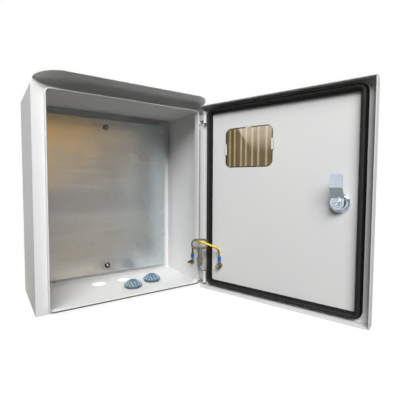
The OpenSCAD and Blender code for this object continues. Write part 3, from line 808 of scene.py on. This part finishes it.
# pieces that only need soft edges: name, nodes, width of the edge, segments, body, slot and any duller metal
softLooks = (
    ("key", ["lock_key"], 1.25, 4, "door", "zinc", "nickel"),
    ("bodyRing", ["body_ring_terminal"], 0.2, 2, "enclosure", "tinned_copper"),
    ("doorRing", ["door_ring_terminal"], 0.2, 2, "door", "tinned_copper"),
    ("bodySleeve", ["body_terminal_sleeve"], 0.4, 3, "enclosure", "blue_vinyl"),
    ("doorSleeve", ["door_terminal_sleeve"], 0.4, 3, "door", "blue_vinyl"),
    ("bodyEarthWashers", ["body_earth_washers"], 0.2, 2, "enclosure", "zinc", "nickel"),
    ("doorEarthWashers", ["door_earth_washers"], 0.2, 2, "door", "zinc", "nickel"),
    # the plate washers take the darkened zinc: painted shade and dark reflection
    ("plateWashers", ["plate_washers"], 0.25, 2, "enclosure", "zinc", "burnished"),
    ("plateSpacers", ["plate_spacers"], 0.25, 2, "enclosure", "zinc"),
    ("hingeLeaves", ["upper_hinge_leaf", "lower_hinge_leaf"], 0.4, 2, "enclosure", "grey_paint"),
    ("doorLeaves", ["upper_door_leaf", "lower_door_leaf"], 0.4, 2, "door", "grey_paint"),
    ("hingePins", ["upper_hinge_pin", "lower_hinge_pin"], 0.4, 2, "door", "zinc", "darkSteel"),
    ("gasket", ["door_gasket"], 0.7, 3, "door", "gasket_foam"),
    ("frontFrame", ["front_frame"], 0.55, 3, "enclosure", "grey_paint"),
    ("bodyShell", ["body_shell"], 0.4, 2, "enclosure", "grey_paint"),
    ("floorPanel", ["floor_panel"], 0.25, 2, "enclosure", "grey_paint"),
    ("rainVisor", ["rain_visor"], 0.45, 2, "enclosure", "grey_paint"),
    ("doorPanel", ["door_panel"], 0.45, 2, "door", "grey_paint"),
    ("mountingPlate", ["mounting_plate"], 0.4, 2, "enclosure", "plate_steel"),
)
for name, nodes, width, segments, body, slot, *metal in softLooks:
    material = darkerMetals[metal[0]] if metal else None
    finished(softened(nodes, width, segments), name, body, slot, nodes, material=material)
print("soft-edged pieces:", len(softLooks))


# window pane: the clips on its inner side are paler plastic
paneShape = {"edge": 0.5, "clipsFrom": -108.78}  # millimetres, the second on the shut door


def addPane(shape):
    pane = softened(["window_pane"], shape["edge"])
    finished(pane, "windowPane", "door", "smoked_pane", ["window_pane"])
    pane.data.materials.append(clipMaterial)
    shut = doorSwing.inverted()
    for face in pane.data.polygons:
        if (shut @ face.center).y > shape["clipsFrom"] * mm:
            face.material_index = 1


addPane(paneShape)
print("window pane modelled")


# hinge rivets with domed heads
rivetLook = {
    "across": 165.5,
    "front": -85,
    "pitch": 20,
    "hinges": (21, 379),
    "sides": 28,
    "smooth": 40,
    "section": ((0, -2.8), (2.3, -2.8), (3.6, -2.0), (4.0, -1.2), (2.4, -1.2), (2.4, 2.0), (4.0, 2.0),
                (3.8, 2.7), (3.0, 3.3), (1.7, 3.6), (0, 3.6)),
}


def addRivets(look):
    heights = [z + side * look["pitch"] / 2 for z in look["hinges"] for side in (-1, 1)]
    model = spun(look["section"], look["sides"])
    twins = [model] + [copied(model) for _ in heights[1:]]
    for twin, z in zip(twins, heights):
        settled(twin, place(look["across"], look["front"], z, 90))
    finished(joined(twins), "hingeRivets", "enclosure", "grey_paint", ["hinge_rivets"], look["smooth"])


addRivets(rivetLook)
print("rivets modelled")


# membrane grommets lying on the floor, stepped, with a ring of ribs on each step
grommetLook = {
    "places": {"left": (26, -28), "right": (81, -8)},
    "floor": 1.2,
    "sides": 64,
    "section": ((14.8, 0), (17, 0), (17.5, 0.5), (18, 2.1), (17.7, 2.4), (16.8, 2.4), (16.8, 4.2), (19, 4.2),
                (19.6, 4.7), (20, 5.7), (19.8, 6.6), (19.2, 7.2), (17.2, 7.2), (16.8, 7.5), (15.9, 9.7),
                (15.5, 10), (13.5, 10), (13.2, 10.3), (12.3, 12.5), (11.9, 12.8), (8.7, 12.8), (8.4, 13.1),
                (8.0, 16.0), (7.6, 16.4), (5.6, 16.4), (5.1, 15.9), (0, 15.9), (0, 10.8), (6.4, 10.8),
                (14.8, 4.2)),
    "ribRings": ((17.9, 7.4, 16), (14.3, 10.4, 12), (10.2, 13.3, 8)),  # radius, height, count
    "rib": (2.8, 2.6, 4.0),  # out from the middle, round it and up
    "ribEdge": 0.4,
    "smooth": 25,
}


def addGrommets(look):
    pieces = [spun(look["section"], look["sides"])]
    # the spun body takes the darker rubber, painted shade between the lighter ribs
    pieces[0].data.materials.append(finishes["grommet_rubber"])
    for radius, height, count in look["ribRings"]:
        deselectAll()
        bpy.ops.mesh.primitive_cube_add(size=mm, location=(radius * mm, 0, height * mm))
        model = bpy.context.object
        edit()
        bpy.ops.transform.resize(value=look["rib"], center_override=model.location)
        leave()
        applied(model, "BEVEL", width=look["ribEdge"] * mm, segments=2)
        model.data.materials.append(ribMaterial)
        ribs = [model] + [copied(model) for _ in range(count - 1)]
        for k, rib in enumerate(ribs):
            settled(rib, Matrix.Rotation(k * fullTurn / count, 4, "Z"))
        pieces += ribs
    model = joined(pieces)
    for (name, (x, y)), piece in zip(look["places"].items(), (model, copied(model))):
        settled(piece, place(x, y, look["floor"]))
        slots = [face.material_index for face in piece.data.polygons]
        finished(piece, name + "Grommet", "enclosure", "grommet_rubber", [name + "_grommet"],
                 look["smooth"])
        piece.data.materials.append(ribMaterial)
        piece.data.polygons.foreach_set("material_index", slots)


addGrommets(grommetLook)
print("grommets modelled")


# floor, light and background
stageLook = {
    "floorSize": 60,
    "floorCuts": 8,
    "bounce": (0.06, 0.06, 0.056),  # what the floor throws back at the box
    "bounceLeft": (0.46, 0.38, 0.33),
    "bounceFrom": (0.2, 0.7, 0.9),  # how far to the left it starts, fades and ends
    "bounceSoft": 0.05,
    "bounceDepth": (-0.1, 0.05),  # none in front of the box
    "shown": (0.95, 0.95, 0.95),
    "mirrored": (0.31, 0.295, 0.27),  # how bright metal and glass see the floor near the box
    "front": (0.60, 0.60, 0.585),  # and far in front of it
    "frontFrom": (0.2, 0.9),
    "frontLean": 0.5,
    "glow": 0.86,
    "white": (0.5, 1.3),  # how far out the floor turns to plain white
    "skyLow": 0.02,
    "skyHigh": 0.26,
    "skyFrom": (0.0, 0.9),
    "room": (0.14, -0.50, 0.06),  # how bright metal sees the room in front of the box, and where it starts
    "roomLean": 0.8,
    "roomRight": {  # a warm patch on the room's right
        "from": (-0.1, 0.12),
        "fade": (0.15, 0.45),
        "faded": 0.6,
        "level": 0.10,
        "lift": 0.9,  # what it gains above the horizon
        "liftFrom": (0.0, 0.2),
        "tint": (1, 0.72, 0.40),
    },
    "lamps": (  # name, place, aim, size and power
        ("keyLamp", (-1.05, -2.12, 1.95), (0.02, -0.1, 0.2), (2.1, 1.35), 114),
        ("backLamp", (1.5, 1.9, 1.5), (0.05, 0, 0.2), (2.1, 1.35), 40),
    ),
}
white = (1, 1, 1)


def rays(flow, *names):  # 1 for the kinds of ray that are named
    kinds = [flow.node("ShaderNodeLightPath", out="Is " + name + " Ray") for name in names]
    total = kinds[0]
    for kind in kinds[1:]:
        total = total + kind
    return total.sum("MINIMUM", total, 1.0)


def addFloor(look):
    deselectAll()
    cuts = look["floorCuts"]
    bpy.ops.mesh.primitive_grid_add(x_subdivisions=cuts, y_subdivisions=cuts, size=look["floorSize"])
    floor = bpy.context.object
    floor.name = "studioFloor"
    material = bpy.data.materials.new("paleFloor")
    material.use_nodes = True
    tree = material.node_tree
    tree.nodes.remove(tree.nodes["Principled BSDF"])
    flow = Flow(tree)
    at = flow.node("ShaderNodeTexCoord", out="Object")
    away = eased(at.node("ShaderNodeVectorMath", {"operation": "LENGTH"}, {0: at}, 1), *look["white"])
    side, depth = (axis(at, k) for k in (0, 1))
    start, fade, end = look["bounceFrom"]
    left = eased(0 - side, start - look["bounceSoft"], start) * (1 - eased(0 - side, fade, end))
    thrown = mixed(left * eased(depth, *look["bounceDepth"]), look["bounce"], look["bounceLeft"])
    bounce = flow.node("ShaderNodeBsdfDiffuse", None, {"Color": thrown})
    paper = flow.node("ShaderNodeBsdfDiffuse", None, {"Color": rgba(look["shown"])})
    far = mixed(eased(side * look["frontLean"] - depth, *look["frontFrom"]), white, look["front"])
    shine = mixed(rays(flow, "Glossy"), white, mixed(away, look["mirrored"], far))
    glow = flow.node("ShaderNodeEmission", None, {"Color": shine, "Strength": 1.0})
    share = look["glow"] + away * (1 - look["glow"])
    bright = flow.node("ShaderNodeMixShader", None, {0: share, 1: paper, 2: glow})
    shown = rays(flow, "Camera", "Glossy", "Transmission")
    surface = flow.node("ShaderNodeMixShader", None, {0: shown, 1: bounce, 2: bright})
    tree.links.new(surface.socket, tree.nodes["Material Output"].inputs["Surface"])
    floor.data.materials.append(material)


def addSky(look):
    world = bpy.data.worlds.new("studioSky")
    bpy.context.scene.world = world
    world.use_nodes = True
    tree = world.node_tree
    flow = Flow(tree)
    at = flow.node("ShaderNodeTexCoord", out="Generated")
    side, depth, height = (axis(at, k) for k in range(3))
    soft = look["skyLow"] + eased(height, *look["skyFrom"]) * (look["skyHigh"] - look["skyLow"])
    dark, near, far = look["room"]
    glossy, lit = rays(flow, "Glossy"), look["roomRight"]
    right = eased(side, *lit["from"]) * (1 - eased(side, *lit["fade"]) * lit["faded"])
    behind = eased(depth + height * look["roomLean"], near, far)
    shine = right * (lit["level"] + eased(height, *lit["liftFrom"]) * lit["lift"])
    room = dark + behind.sum("MAXIMUM", behind, shine) * (1 - dark)
    strength = soft + rays(flow, "Camera", "Transmission") * (1 - soft) + glossy * (room - soft)
    tint = mixed(glossy * right * (1 - behind), white, lit["tint"])
    tree.links.new(strength.socket, tree.nodes["Background"].inputs["Strength"])
    tree.links.new(tint.socket, tree.nodes["Background"].inputs["Color"])


def addLamps(look):
    for name, spot, aim, size, power in look["lamps"]:
        deselectAll()
        bpy.ops.object.light_add(type="AREA", location=spot)
        lamp = bpy.context.object
        lamp.name = name
        lamp.rotation_euler = (Vector(aim) - Vector(spot)).to_track_quat("-Z", "Y").to_euler()
        lamp.data.shape = "RECTANGLE"
        lamp.data.size, lamp.data.size_y = size
        lamp.data.energy = power


addFloor(stageLook)
addSky(stageLook)
addLamps(stageLook)
bpy.context.scene.view_settings.view_transform = "Standard"
print("stage lit")
